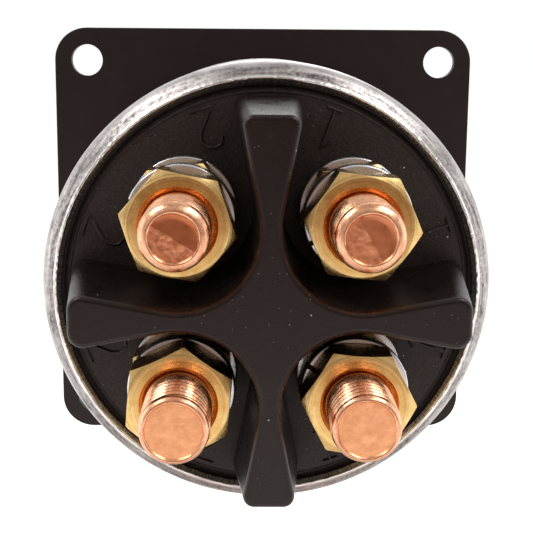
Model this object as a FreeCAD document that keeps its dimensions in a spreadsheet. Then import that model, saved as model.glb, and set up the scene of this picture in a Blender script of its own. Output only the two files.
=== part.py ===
import FreeCAD, Part
import Sketcher
import math
import os
import re
from FreeCAD import Placement, Rotation, Vector

# Four-stud, two-pole rotary battery switch.
# Every piece is drawn in a local frame: x to the right, y up and z along the switch axis, with z = 0
# on the mounting plate's rear face and z growing towards the terminal studs.  FRAME then stands the
# piece in the part's own frame, where +Z is up and the studs point along -Y.
FRAME = Rotation(Vector(1, 0, 0), 90)

DIMENSIONS = {
    # mounting plate
    "plate_size": 108.0,
    "plate_thick": 2.0,
    "plate_corner": 8.3,
    "plate_edge_round": 0.3,
    "hole_spacing": 91.4,
    "hole_radius": 4.05,
    # drawn steel can with its rim folded in over the base
    "can_radius": 46.5,
    "can_wall": 1.4,
    "can_corner": 3.0,
    "fold_depth": 54.6,
    "fold_outer_round": 4.0,
    "lip_radius": 43.0,
    "lip_depth": 57.5,
    "lip_run": 0.893,
    "lip_drop": 1.078,
    "fold_slope": 0.829,
    # liner and gasket inside the can
    "liner_radius": 44.9,
    "liner_wall": 1.5,
    "liner_end": 44.5,
    "flange_face": 45.9,
    # moulded terminal base
    "base_inner_face": 40.0,
    "base_plug_radius": 41.0,
    "shoulder_depth": 53.5,
    "moat_outer": 42.6,
    "moat_inner": 41.7,
    "moat_depth": 55.4,
    "land_radius": 40.35,
    "land_depth": 57.0,
    "bearing_boss": 9.5,
    "bearing_face": 36.0,
    "bearing_end": 50.0,
    # barrier between the studs
    "barrier_top": 80.5,
    "barrier_root": 56.4,
    "scallop_top": 14.9,
    "scallop_root": 13.64,
    "flare_slope": 0.19,
    "arm_side_top": 36.4,
    "arm_upper_top": 37.3,
    "arm_lower_top": 35.2,
    "arm_root": 39.75,
    "side_corner_round": 2.8,
    "end_corner_round": 2.1,
    "arm_edge_round": 1.0,
    # terminal studs and their hardware
    "stud_offset": 16.8,
    "stud_radius": 6.35,
    "stud_hole": 6.5,
    "stud_head_radius": 8.5,
    "stud_head_face": 35.0,
    "stud_tip_radius": 4.8,
    "stud_shoulder_radius": 6.15,
    "tip_height": 0.95,
    "stud_end_upper_left": 87.25,
    "stud_end_upper_right": 87.35,
    "stud_end_lower_left": 88.9,
    "stud_end_lower_right": 88.1,
    "seal_ring": 7.6,
    "seal_section": 1.2,
    "seal_pocket_radius": 9.0,
    "seal_pocket_depth": 2.4,
    "washer_hole": 6.6,
    "washer_radius": 10.7,
    "washer_thick": 1.8,
    "nut_across_flats": 19.05,
    "nut_height": 7.7,
    "nut_chamfer_radius": 9.2,
    "nut_countersink": 7.2,
    "lock_washer_radius": 10.5,
    "lock_washer_thick": 2.95,
    "lock_washer_slit": 1.4,
    # shaft, bushing and front hardware
    "shaft_radius": 5.0,
    "shaft_clearance": 0.05,
    "shaft_front": -22.5,
    "shaft_end": 49.0,
    "shaft_flat": 7.6,
    "journal_front": -12.5,
    "seal_groove_depth": -8.0,
    "seal_groove_radius": 3.5,
    "seal_groove_width": 2.4,
    "shaft_seal_ring": 4.3,
    "shaft_seal_section": 0.68,
    "bushing_radius": 9.0,
    "bushing_hole": 9.15,
    "bushing_front": -12.0,
    "bushing_flange_radius": 13.0,
    "bushing_flange_thick": 2.5,
    "bushing_washer_radius": 13.5,
    "bushing_washer_thick": 1.2,
    "bushing_nut_flats": 27.0,
    "bushing_nut_height": 5.5,
    "detent_plate_radius": 31.0,
    "detent_plate_thick": 2.5,
    "detent_ring": 21.0,
    "dimple_radius": 3.2,
    "dimple_depth": 0.7,
    "ball_radius": 3.0,
    "ball_gap": 0.05,
    "ball_bore": 3.15,
    "ball_bore_end": 16.5,
    "stop_ring": 28.0,
    "stop_pin_radius": 2.0,
    "stop_pin_end": 9.0,
    "stop_slot_end": 9.6,
    "stop_slot_half": 2.3,
    "slot_margin": 6.0,
    "turn_angle": 45.0,
    "rivet_offset": 25.5,
    "rivet_radius": 2.0,
    "rivet_head_radius": 3.8,
    "rivet_head_height": 1.9,
    # rotor and moving contacts
    "clip_depth": 6.9,
    "clip_thick": 1.0,
    "clip_radius": 7.6,
    "clip_groove_radius": 4.2,
    "rotor_radius": 36.0,
    "rotor_front": 4.8,
    "rotor_floor": 20.0,
    "rotor_wall": 2.5,
    "rotor_wall_end": 30.0,
    "rotor_recess_radius": 14.0,
    "rotor_recess_end": 8.6,
    "rotor_hub_radius": 9.0,
    "rotor_hub_end": 32.8,
    "rotor_web": 4.0,
    "post_radius": 3.0,
    "post_end": 33.2,
    "contact_back": 27.9,
    "contact_thick": 4.0,
    "contact_face": 34.9,
    "contact_inner": 12.5,
    "contact_outer": 31.5,
    "contact_span": 124.0,
    "contact_pad_radius": 7.0,
    "contact_ring": 23.76,
    "contact_hole": 3.15,
    "spring_wire": 0.55,
    "contact_spring_ring": 4.3,
    "contact_spring_pitch": 2.2,
    "detent_spring_ring": 2.2,
    "detent_spring_pitch": 1.6,
    "thrust_washer_radius": 8.4,
    "thrust_washer_hole": 5.3,
    "thrust_washer_thick": 3.1,
    # lever
    "lever_back": -13.0,
    "lever_hub_radius": 13.0,
    "lever_hub_height": 10.0,
    "lever_length": 38.0,
    "lever_tip_radius": 6.5,
    "lever_height": 8.0,
    "lever_edge_round": 2.2,
    "spring_washer_thick": 1.0,
    "spring_washer_radius": 5.2,
    "screw_radius": 2.5,
    "screw_head_radius": 4.6,
    "screw_head_height": 3.4,
    "screw_socket_radius": 2.3,
    "screw_socket_depth": 1.9,
    "screw_length": 12.0,
    "screw_tip_gap": 1.0,
}

# Turn of each nut about its stud, in degrees, as the nuts were left when they were tightened.
FRONT_NUT_TURN = {"upper_left": 49, "upper_right": 54, "lower_left": 25, "lower_right": 57}
REAR_NUT_TURN = {"upper_left": 8, "upper_right": 8, "lower_left": 33, "lower_right": 12}
# Where the slit of each lock washer ended up, in degrees about the stud.
SLIT_TURN = {"upper_left": 160, "upper_right": 205, "lower_left": 140, "lower_right": 150}
# Which way each stud lies from the axis.
STUD_SIDES = {
    "upper_left": (-1, 1),
    "upper_right": (1, 1),
    "lower_left": (-1, -1),
    "lower_right": (1, -1),
}
# Angles of the two balls and the two moving contacts, and of the stop pin, about the axis.
SIDE_ANGLES = {"left": 180, "right": 0}
STOP_ANGLE = 90

doc = FreeCAD.newDocument("battery_switch")
sheet = doc.addObject("Spreadsheet::Sheet", "dims")
sub_parts = []


def fill_sheet():
    """Write every driving dimension to the sheet as a plain number with an alias."""
    for row, (alias, value) in enumerate(DIMENSIONS.items(), start=1):
        sheet.set("A%d" % row, alias)
        sheet.set("B%d" % row, str(value))
        sheet.setAlias("B%d" % row, alias)
    doc.recompute()


def linked(text):
    """The same expression with each dimension's name pointing at its cell."""
    return re.sub(r"[a-z_]{2,}", lambda word: "dims." + word.group(0) if word.group(0) in DIMENSIONS
                  else word.group(0), str(text))


def number(text):
    """The value of an expression, worked out with the sheet's own numbers."""
    return sheet.evalExpression(linked(text))


def plain(text):
    value = number(text)
    return float(getattr(value, "Value", value))


def bind(item, **properties):
    """Bind properties of an object to expressions in the sheet's dimensions."""
    for name, text in properties.items():
        item.setExpression(name, linked(text))
    return item


def bind_place(item, x="0", y="0", z="0"):
    for letter, text in zip("xyz", (x, y, z)):
        item.setExpression("Placement.Base." + letter, linked(text))
    return item


def finish(item, label, x="0", y="0"):
    """Label a sub-part and stand it in the part's own frame, moved by x and y across the axis."""
    item.Label = label
    item.Placement = Placement(Vector(0, 0, 0), FRAME)
    item.setExpression("Placement.Base.x", linked(x))
    item.setExpression("Placement.Base.z", linked(y))
    sub_parts.append(item)
    return item


# ---- primitives and booleans, in the local frame ---------------------------------------------------

def cylinder(name, radius, low, high, x="0", y="0"):
    item = doc.addObject("Part::Cylinder", name)
    bind(item, Radius=radius, Height="(%s) - (%s)" % (high, low))
    return bind_place(item, x, y, low)


def sector(name, radius, low, high, start, sweep):
    """A pie slice about the axis, from the angle start through the angle sweep, in degrees."""
    item = doc.addObject("Part::Cylinder", name)
    item.Placement = Placement(Vector(0, 0, 0), Rotation(Vector(0, 0, 1), start))
    bind(item, Radius=radius, Height="(%s) - (%s)" % (high, low), Angle=sweep)
    return bind_place(item, z=low)


def cone(name, low_radius, high_radius, low, high, x="0", y="0"):
    item = doc.addObject("Part::Cone", name)
    bind(item, Radius1=low_radius, Radius2=high_radius, Height="(%s) - (%s)" % (high, low))
    return bind_place(item, x, y, low)


def block(name, x_size, y_size, low, high, x="0", y="0"):
    """A box centred on (x, y)."""
    item = doc.addObject("Part::Box", name)
    bind(item, Length=x_size, Width=y_size, Height="(%s) - (%s)" % (high, low))
    return bind_place(item, "(%s) - (%s)/2" % (x, x_size), "(%s) - (%s)/2" % (y, y_size), low)


def sphere(name, radius, x, y, z):
    item = doc.addObject("Part::Sphere", name)
    bind(item, Radius=radius)
    return bind_place(item, x, y, z)


def torus(name, ring, section, z, x="0", y="0"):
    item = doc.addObject("Part::Torus", name)
    bind(item, Radius1=ring, Radius2=section)
    return bind_place(item, x, y, z)


def fuse(name, pieces):
    item = doc.addObject("Part::MultiFuse", name)
    item.Shapes = pieces
    return item


def common(name, pieces):
    item = doc.addObject("Part::MultiCommon", name)
    item.Shapes = pieces
    return item


def cut(name, base, *tools):
    item = doc.addObject("Part::Cut", name)
    item.Base = base
    item.Tool = tools[0] if len(tools) == 1 else fuse(name + "_tools", list(tools))
    return item


def group(name, pieces):
    item = doc.addObject("Part::Compound", name)
    item.Links = pieces
    return item


def ring(name, inner, outer, low, high, x="0", y="0"):
    through = cylinder(name + "_hole", inner, "(%s) - 1" % low, "(%s) + 1" % high, x, y)
    return cut(name, cylinder(name + "_disc", outer, low, high, x, y), through)


def double_d(name, low, high):
    """A round bar of the shaft's radius with two flats, for the ends that drive something."""
    bar = cylinder(name + "_bar", "shaft_radius", low, high)
    return common(name, [bar, block(name + "_flats", "shaft_flat", "4*shaft_radius", low, high)])


def edges_at(item, test):
    """Names of the edges of an object's shape that pass a test."""
    doc.recompute()
    return ["Edge%d" % (index + 1) for index, edge in enumerate(item.Shape.Edges) if test(edge)]


def circle_test(radius, depth):
    """Picks the full circle of one radius at one depth, for a turned piece's fillets."""
    def test(edge):
        curve = edge.Curve
        if not isinstance(curve, Part.Circle):
            return False
        return abs(curve.Radius - plain(radius)) < 0.01 and abs(curve.Center.z - plain(depth)) < 0.01
    return test


# ---- PartDesign bodies -----------------------------------------------------------------------------

def new_body(name):
    return doc.addObject("PartDesign::Body", name)


def plane_of(body, role):
    return [item for item in body.Origin.OriginFeatures if item.Role == role][0]


def new_sketch(body, name, role, offset="0"):
    sketch = body.newObject("Sketcher::SketchObject", name)
    sketch.AttachmentSupport = [(plane_of(body, role), "")]
    sketch.MapMode = "FlatFace"
    sketch.setExpression("AttachmentOffset.Base.z", linked(offset))
    return sketch


def hold_point(sketch, edge, x, y):
    """Hold the start of an edge at (x, y), each coordinate bound to the sheet."""
    for kind, text, axis in (("DistanceX", x, -2), ("DistanceY", y, -1)):
        if abs(plain(text)) < 1e-9:
            sketch.addConstraint(Sketcher.Constraint("PointOnObject", edge, 1, axis))
            continue
        index = sketch.addConstraint(Sketcher.Constraint(kind, -1, 1, edge, 1, plain(text)))
        sketch.setExpression("Constraints[%d]" % index, linked(text))


def polygon(sketch, points):
    """A closed outline of straight lines through points given as pairs of expressions."""
    corners = [Vector(plain(x), plain(y), 0) for x, y in points]
    for start, end in zip(corners, corners[1:] + corners[:1]):
        sketch.addGeometry(Part.LineSegment(start, end), False)
    for index in range(len(points)):
        following = (index + 1) % len(points)
        sketch.addConstraint(Sketcher.Constraint("Coincident", index, 2, following, 1))
    for index, (x, y) in enumerate(points):
        hold_point(sketch, index, x, y)


def turned(name, points, rounds=()):
    """A turned piece: an outline of (radius, depth) points, revolved about the switch axis."""
    body = new_body(name)
    sketch = new_sketch(body, name + "_outline", "XZ_Plane")
    polygon(sketch, points)
    turn = body.newObject("PartDesign::Revolution", name + "_turn")
    turn.Profile = sketch
    turn.ReferenceAxis = (sketch, ["V_Axis"])
    turn.Angle = 360
    body.Tip = turn
    last = turn
    for index, (radius, depth, size) in enumerate(rounds):
        doc.recompute()
        edges = edges_at(last, circle_test(radius, depth))
        fillet = body.newObject("PartDesign::Fillet", "%s_round_%d" % (name, index))
        fillet.Base = (last, edges)
        bind(fillet, Radius=size)
        body.Tip = fillet
        last = fillet
    return body


# ---- housing ---------------------------------------------------------------------------------------

def mounting_plate():
    half = "plate_size/2"
    body = new_body("plate")
    sketch = new_sketch(body, "plate_outline", "XY_Plane", "-plate_thick")
    polygon(sketch, [("-" + half, "-" + half), (half, "-" + half), (half, half), ("-" + half, half)])
    pad = body.newObject("PartDesign::Pad", "plate_pad")
    pad.Profile = sketch
    bind(pad, Length="plate_thick")
    corners = edges_at(pad, lambda edge: abs(edge.tangentAt(edge.FirstParameter).z) > 0.99)
    rounded = body.newObject("PartDesign::Fillet", "plate_corners")
    rounded.Base = (pad, corners)
    bind(rounded, Radius="plate_corner")
    holes = new_sketch(body, "plate_holes", "XY_Plane", "-plate_thick")
    spots = [(x + "hole_spacing/2", y + "hole_spacing/2", "hole_radius")
             for x in ("", "-") for y in ("", "-")]
    spots.append(("0", "0", "bushing_hole"))
    spots += [(x + "rivet_offset", y + "rivet_offset", "rivet_radius") for x in ("", "-") for y in ("", "-")]
    for index, (x, y, radius) in enumerate(spots):
        centre = Vector(plain(x), plain(y), 0)
        sketch_circle = Part.Circle(centre, Vector(0, 0, 1), plain(radius))
        holes.addGeometry(sketch_circle, False)
        size = holes.addConstraint(Sketcher.Constraint("Radius", index, plain(radius)))
        holes.setExpression("Constraints[%d]" % size, linked(radius))
        for kind, text, axis in (("DistanceX", x, -2), ("DistanceY", y, -1)):
            if text == "0":
                holes.addConstraint(Sketcher.Constraint("PointOnObject", index, 3, axis))
                continue
            row = holes.addConstraint(Sketcher.Constraint(kind, -1, 1, index, 3, plain(text)))
            holes.setExpression("Constraints[%d]" % row, linked(text))
    pocket = body.newObject("PartDesign::Pocket", "plate_drilled")
    pocket.Profile = holes
    pocket.Type = "ThroughAll"
    pocket.Midplane = True
    body.Tip = pocket
    rims = edges_at(pocket, on_plate_rim)
    eased = body.newObject("PartDesign::Fillet", "plate_edges")
    eased.Base = (pocket, rims)
    bind(eased, Radius="plate_edge_round")
    body.Tip = eased
    return finish(body, "mounting_plate")


def on_plate_rim(edge):
    """True for the outline edges of the plate's two faces, and not for its holes."""
    if isinstance(edge.Curve, Part.Circle):
        wanted = abs(edge.Curve.Radius - plain("plate_corner")) < 0.01
    else:
        wanted = abs(edge.tangentAt(edge.FirstParameter).z) < 0.01
    return wanted


def steel_can():
    inner = "can_radius - can_wall"
    shell = turned("can", [
        ("bushing_hole", "0"),
        ("can_radius", "0"),
        ("can_radius", "fold_depth"),
        ("lip_radius", "lip_depth"),
        ("lip_radius - lip_run", "lip_depth - lip_drop"),
        (inner, "lip_depth - lip_drop - fold_slope*(%s - lip_radius + lip_run)" % inner),
        (inner, "can_wall"),
        ("bushing_hole", "can_wall"),
    ], rounds=[
        ("can_radius", "0", "can_corner"),
        (inner, "can_wall", "can_corner - can_wall"),
        ("can_radius", "fold_depth", "fold_outer_round"),
        (inner, "lip_depth - lip_drop - fold_slope*(%s - lip_radius + lip_run)" % inner,
         "fold_outer_round - can_wall"),
    ])
    holes = [cylinder("can_rivet_hole_%d" % (2*row + column), "rivet_radius", "-1", "can_wall + 1",
                      x + "rivet_offset", y + "rivet_offset")
             for row, x in enumerate(("", "-")) for column, y in enumerate(("", "-"))]
    return finish(cut("can_drilled", shell, *holes), "steel_can")


def insulating_liner():
    return finish(ring("liner", "liner_radius - liner_wall", "liner_radius", "can_corner", "liner_end"),
                  "insulating_liner")


def base_gasket():
    return finish(ring("gasket", "base_plug_radius + 0.2", "liner_radius", "liner_end", "flange_face"),
                  "base_gasket")


def base_disc():
    """The moulded base without its barrier: plug, flange, moat and flat land."""
    return turned("base_disc", [
        ("0", "bearing_end"),
        ("shaft_radius + shaft_clearance", "bearing_end"),
        ("shaft_radius + shaft_clearance", "bearing_face"),
        ("bearing_boss", "bearing_face"),
        ("bearing_boss", "base_inner_face"),
        ("base_plug_radius", "base_inner_face"),
        ("base_plug_radius", "flange_face"),
        ("liner_radius", "flange_face"),
        ("liner_radius", "shoulder_depth"),
        ("moat_outer", "moat_depth"),
        ("moat_inner", "moat_depth"),
        ("land_radius", "land_depth"),
        ("0", "land_depth"),
    ])


def barrier_outline(depth, scallop, arms):
    """Closed wire of the barrier at one depth: a scallop round each stud, and flared, square arms.

    arms gives the reach of the right, upper, left and lower arm.
    """
    offset = plain("stud_offset")
    slope = plain("flare_slope")
    tilt = math.atan(slope)
    along = offset + scallop * math.sin(tilt)
    beside = offset - scallop * math.cos(tilt)
    edges = []
    for quarter in range(4):
        turn = Rotation(Vector(0, 0, 1), 90 * quarter)
        reach = arms[quarter]
        next_reach = arms[(quarter + 1) % 4]
        width = beside + slope * (reach - along)
        next_width = beside + slope * (next_reach - along)
        near = offset - scallop * math.sqrt(0.5)
        corners = [(reach, -width), (reach, width), (along, beside), (near, near),
                   (beside, along), (next_width, next_reach)]
        spots = [turn.multVec(Vector(x, y, 0)) + Vector(0, 0, depth) for x, y in corners]
        edges.append(Part.LineSegment(spots[0], spots[1]).toShape())
        edges.append(Part.LineSegment(spots[1], spots[2]).toShape())
        edges.append(Part.Arc(spots[2], spots[3], spots[4]).toShape())
        edges.append(Part.LineSegment(spots[4], spots[5]).toShape())
    return Part.Wire(edges)


def barrier():
    """The raised cross: drafted walls between two outlines, then rounded ends and top edges."""
    root = barrier_outline(plain("barrier_root"), plain("scallop_root"), [plain("arm_root")] * 4)
    top = barrier_outline(plain("barrier_top"), plain("scallop_top"), [
        plain("arm_side_top"), plain("arm_upper_top"), plain("arm_side_top"), plain("arm_lower_top")])
    solid = Part.makeLoft([root, top], True, True)
    inner_limit = plain("arm_lower_top") - 1
    for size, reach_along in (("side_corner_round", "x"), ("end_corner_round", "y")):
        corners = [edge for edge in solid.Edges if abs(edge.tangentAt(edge.FirstParameter).z) > 0.9
                   and abs(getattr(edge.CenterOfMass, reach_along)) > inner_limit]
        solid = solid.makeFillet(plain(size), corners)
    crown = [edge for edge in solid.Edges
             if abs(edge.BoundBox.ZMin - plain("barrier_top")) < 0.01]
    solid = solid.makeFillet(plain("arm_edge_round"), crown)
    item = doc.addObject("Part::Feature", "barrier")
    item.Shape = solid
    return item


def stud_place(name):
    """Expressions for one stud's x and y."""
    x_side, y_side = STUD_SIDES[name]
    return "%d*stud_offset" % x_side, "%d*stud_offset" % y_side


def terminal_base():
    moulding = fuse("base_moulding", [base_disc(), barrier()])
    holes = []
    for name in STUD_SIDES:
        x, y = stud_place(name)
        holes.append(cylinder("stud_hole_" + name, "stud_hole", "base_inner_face - 1",
                              "land_depth + 1", x, y))
        holes.append(cylinder("seal_pocket_" + name, "seal_pocket_radius", "base_inner_face - 1",
                              "base_inner_face + seal_pocket_depth", x, y))
    return finish(cut("base_drilled", moulding, *holes), "terminal_base")


# ---- terminal studs and their hardware -------------------------------------------------------------

def terminal_studs():
    for name in STUD_SIDES:
        end = "stud_end_" + name
        stud = turned("stud_" + name, [
            ("0", "stud_head_face"),
            ("stud_head_radius", "stud_head_face"),
            ("stud_head_radius", "base_inner_face"),
            ("stud_radius", "base_inner_face"),
            ("stud_radius", end + " - tip_height - 0.3"),
            ("stud_shoulder_radius", end + " - tip_height"),
            ("stud_tip_radius", end),
            ("0", end),
        ])
        finish(stud, "terminal_stud_" + name, *stud_place(name))


def stud_seals():
    seals = [torus("seal_" + name, "seal_ring", "seal_section", "base_inner_face + seal_section",
                   *stud_place(name)) for name in STUD_SIDES]
    return finish(group("seals", seals), "stud_seals")


def base_washers():
    washers = [ring("washer_" + name, "washer_hole", "washer_radius", "land_depth",
                    "land_depth + washer_thick", *stud_place(name)) for name in STUD_SIDES]
    return finish(group("washers", washers), "base_washers")


def hex_nut(name, flats, height, bore, chamfer, countersink, low, turn, x="0", y="0"):
    """A hexagon nut with both faces chamfered and both ends of its hole countersunk."""
    high = "(%s) + %s" % (low, height)
    prism = doc.addObject("Part::Prism", name + "_prism")
    prism.Polygon = 6
    prism.Placement = Placement(Vector(0, 0, 0), Rotation(Vector(0, 0, 1), turn))
    bind(prism, Circumradius="%s/1.7320508" % flats, Height=height)
    bind_place(prism, x, y, low)
    spread = "%s + 1.7320508*(%s)" % (chamfer, height)
    front = cone(name + "_front", spread, chamfer, low, high, x, y)
    rear = cone(name + "_rear", chamfer, spread, low, high, x, y)
    bored = cylinder(name + "_bore", bore, "(%s) - 1" % low, "(%s) + 1" % high, x, y)
    depth = "(%s - %s)" % (countersink, bore)
    mouth = cone(name + "_mouth", bore, countersink, "(%s) - %s" % (high, depth), high, x, y)
    foot = cone(name + "_foot", countersink, bore, low, "(%s) + %s" % (low, depth), x, y)
    return cut(name, common(name + "_hexagon", [prism, front, rear]), bored, mouth, foot)


def stud_nuts(label, low, turns):
    nuts = [hex_nut("%s_%s" % (label, name), "nut_across_flats", "nut_height", "stud_radius",
                    "nut_chamfer_radius", "nut_countersink", low, turns[name], *stud_place(name))
            for name in STUD_SIDES]
    return finish(group(label + "_set", nuts), label)


def lock_washers(low):
    washers = []
    for name in STUD_SIDES:
        x, y = stud_place(name)
        high = "(%s) + lock_washer_thick" % low
        body = ring("lock_" + name, "washer_hole", "lock_washer_radius", low, high, x, y)
        slit = doc.addObject("Part::Box", "slit_" + name)
        slit.Placement = Placement(Vector(0, 0, 0), Rotation(Vector(0, 0, 1), SLIT_TURN[name]))
        bind(slit, Length="lock_washer_radius + 1", Width="lock_washer_slit", Height="lock_washer_thick + 2")
        bind_place(slit, x, y, "(%s) - 1" % low)
        washers.append(cut("lock_split_" + name, body, slit))
    return finish(group("lock_washer_set", washers), "lock_washers")


# ---- shaft, bushing and detent ---------------------------------------------------------------------

def shaft_bushing():
    plate_end = "can_wall + detent_plate_thick"
    return finish(turned("bushing", [
        ("shaft_radius + shaft_clearance", "bushing_front"),
        ("bushing_radius", "bushing_front"),
        ("bushing_radius", plate_end),
        ("bushing_flange_radius", plate_end),
        ("bushing_flange_radius", plate_end + " + bushing_flange_thick"),
        ("shaft_radius + shaft_clearance", plate_end + " + bushing_flange_thick"),
    ]), "shaft_bushing")


def bushing_hardware():
    washer_front = "-plate_thick - bushing_washer_thick"
    washer = ring("bushing_washer_ring", "bushing_hole", "bushing_washer_radius", washer_front,
                  "-plate_thick")
    finish(washer, "bushing_washer")
    nut = hex_nut("bushing_hex", "bushing_nut_flats", "bushing_nut_height", "bushing_radius",
                  "bushing_nut_flats/2 - 0.3", "bushing_radius + 0.8",
                  "-plate_thick - bushing_washer_thick - bushing_nut_height", 0)
    finish(nut, "bushing_nut")


def polar(distance, degrees):
    """Expressions for a point at a distance from the axis, at an angle from x."""
    angle = math.radians(degrees)
    return "%s*%.6f" % (distance, math.cos(angle)), "%s*%.6f" % (distance, math.sin(angle))


def detent_plate():
    face = "can_wall + detent_plate_thick"
    disc = ring("detent_disc", "bushing_hole", "detent_plate_radius", "can_wall", face)
    cuts = []
    for side, start in SIDE_ANGLES.items():
        for stop in (0, plain("turn_angle")):
            x, y = polar("detent_ring", start + stop)
            cuts.append(sphere("dimple_%s_%d" % (side, stop), "dimple_radius", x, y,
                               face + " + dimple_radius - dimple_depth"))
    x, y = polar("stop_ring", STOP_ANGLE)
    cuts.append(cylinder("stop_pin_hole", "stop_pin_radius", "can_wall - 1", face + " + 1", x, y))
    return finish(cut("detent", disc, *cuts), "detent_plate")


def stop_pin():
    x, y = polar("stop_ring", STOP_ANGLE)
    pin = cylinder("pin", "stop_pin_radius", "can_wall", "stop_pin_end", x, y)
    return finish(group("pin_only", [pin]), "stop_pin")


def plate_rivets():
    rivets = []
    for row, x_sign in enumerate(("", "-")):
        for column, y_sign in enumerate(("", "-")):
            x = x_sign + "rivet_offset"
            y = y_sign + "rivet_offset"
            tag = "rivet_%d" % (2 * row + column)
            shank = cylinder(tag + "_shank", "rivet_radius", "-plate_thick", "can_wall", x, y)
            crown = cone(tag + "_head", "rivet_head_radius*0.55", "rivet_head_radius",
                         "-plate_thick - rivet_head_height", "-plate_thick", x, y)
            rivets.append(fuse(tag, [shank, crown]))
    return finish(group("rivet_set", rivets), "plate_rivets")


def drive_shaft():
    groove = "seal_groove_depth - seal_groove_width/2"
    groove_end = "seal_groove_depth + seal_groove_width/2"
    round_bar = turned("shaft_turned", [
        ("0", "shaft_front"),
        ("shaft_radius", "shaft_front"),
        ("shaft_radius", groove),
        ("seal_groove_radius", groove),
        ("seal_groove_radius", groove_end),
        ("shaft_radius", groove_end),
        ("shaft_radius", "clip_depth"),
        ("clip_groove_radius", "clip_depth"),
        ("clip_groove_radius", "clip_depth + clip_thick"),
        ("shaft_radius", "clip_depth + clip_thick"),
        ("shaft_radius", "shaft_end"),
        ("0", "shaft_end"),
    ])
    cuts = []
    for side in ("", "-"):
        for tag, low, high in (("front", "shaft_front - 1", "journal_front"),
                               ("rotor", "rotor_recess_end", "rotor_hub_end")):
            middle = "%s(shaft_flat/2 + shaft_radius)" % side
            name = "shaft_flat_%s_%s" % (tag, "low" if side else "high")
            cuts.append(block(name, "2*shaft_radius", "3*shaft_radius", low, high, middle))
    cuts.append(cylinder("shaft_tapped", "screw_radius", "shaft_front - 1", "shaft_front + screw_length"))
    return finish(cut("shaft", round_bar, *cuts), "drive_shaft")


def shaft_small_parts():
    finish(group("shaft_seal_only", [torus("shaft_seal_torus", "shaft_seal_ring", "shaft_seal_section",
                                           "seal_groove_depth")]), "shaft_seal")
    clip = ring("clip_ring", "clip_groove_radius", "clip_radius", "clip_depth", "clip_depth + clip_thick")
    gap = block("clip_gap", "4.2", "clip_radius + 1", "clip_depth - 1", "clip_depth + clip_thick + 1",
                y="-(clip_radius + 1)/2")
    finish(cut("clip", clip, gap), "retaining_clip")
    washer = ring("thrust", "thrust_washer_hole", "thrust_washer_radius", "rotor_hub_end",
                  "rotor_hub_end + thrust_washer_thick")
    finish(washer, "thrust_washer")


# ---- rotor and contacts ----------------------------------------------------------------------------

def rotor_carrier():
    drum = cylinder("rotor_drum", "rotor_radius", "rotor_front", "rotor_floor")
    wall = ring("rotor_rim", "rotor_radius - rotor_wall", "rotor_radius", "rotor_floor - 1",
                "rotor_wall_end")
    hub = cylinder("rotor_hub", "rotor_hub_radius", "rotor_floor - 1", "rotor_hub_end")
    web = block("rotor_web_bar", "rotor_web", "2*(rotor_radius - 1)", "rotor_floor - 1", "rotor_wall_end")
    posts = [cylinder("rotor_post_" + side, "post_radius", "rotor_floor - 1", "post_end",
                      *polar("contact_ring", angle)) for side, angle in SIDE_ANGLES.items()]
    bores = [cylinder("ball_bore_" + side, "ball_bore", "rotor_front - 1", "ball_bore_end",
                      *polar("detent_ring", angle)) for side, angle in SIDE_ANGLES.items()]
    recess = cylinder("rotor_recess", "rotor_recess_radius", "rotor_front - 1", "rotor_recess_end")
    drive = double_d("rotor_drive", "rotor_front - 1", "rotor_hub_end + 1")
    half = "stop_slot_half"
    slot_start = STOP_ANGLE - plain("turn_angle + slot_margin")
    slot_disc = sector("stop_slot_disc", "stop_ring + " + half, "rotor_front - 1", "stop_slot_end",
                       slot_start, "turn_angle + 2*slot_margin")
    slot_core = cylinder("stop_slot_core", "stop_ring - " + half, "rotor_front - 2", "stop_slot_end + 1")
    slot = cut("stop_slot", slot_disc, slot_core)
    solid = fuse("rotor_solid", [drum, wall, hub, web] + posts)
    return finish(cut("rotor", solid, recess, drive, slot, *bores), "rotor_carrier")


def moving_contacts():
    for side, angle in SIDE_ANGLES.items():
        start = angle - plain("contact_span") / 2
        end = "contact_back + contact_thick"
        slice_ = sector("contact_slice_" + side, "contact_outer", "contact_back", end, start, "contact_span")
        core = cylinder("contact_core_" + side, "contact_inner", "contact_back - 1", end + " + 1")
        bar = cut("contact_bar_" + side, slice_, core)
        pads = [cylinder("contact_pad_%s_%d" % (side, index), "contact_pad_radius", "contact_back",
                         "contact_face", *polar("contact_ring", angle + turn))
                for index, turn in enumerate((-45, 45))]
        hole = cylinder("contact_hole_" + side, "contact_hole", "contact_back - 1", end + " + 1",
                        *polar("contact_ring", angle))
        finish(cut("contact_" + side, fuse("contact_blank_" + side, [bar] + pads), hole),
               "moving_contact_" + side)


def coil_spring(name, ring_radius, pitch, low, high, x, y):
    """A helical spring between two depths, wound from the sheet's spring wire."""
    wire = plain("spring_wire")
    start = plain(low) + wire
    length = plain(high) - wire - start
    helix = doc.addObject("Part::Helix", name + "_helix")
    bind(helix, Radius=ring_radius, Pitch=pitch, Height="(%s) - (%s) - 2*spring_wire" % (high, low))
    bind_place(helix, x, y, "(%s) + spring_wire" % low)
    section = doc.addObject("Part::Circle", name + "_section")
    bind(section, Radius="spring_wire")
    section.Placement = Placement(Vector(0, 0, 0), Rotation(Vector(1, 0, 0), 90))
    bind_place(section, "%s + %s" % (x, ring_radius), y, "(%s) + spring_wire" % low)
    sweep = doc.addObject("Part::Sweep", name + "_sweep")
    sweep.Sections = [section]
    sweep.Spine = (helix, ["Edge1"])
    sweep.Solid = True
    sweep.Frenet = True
    turns = length / plain(pitch)
    expected = math.pi * wire ** 2 * turns * math.hypot(2 * math.pi * plain(ring_radius), plain(pitch))
    doc.recompute()
    if abs(sweep.Shape.Volume / expected - 1) > 0.02:
        raise RuntimeError("spring %s has the wrong volume" % name)
    return sweep


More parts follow.
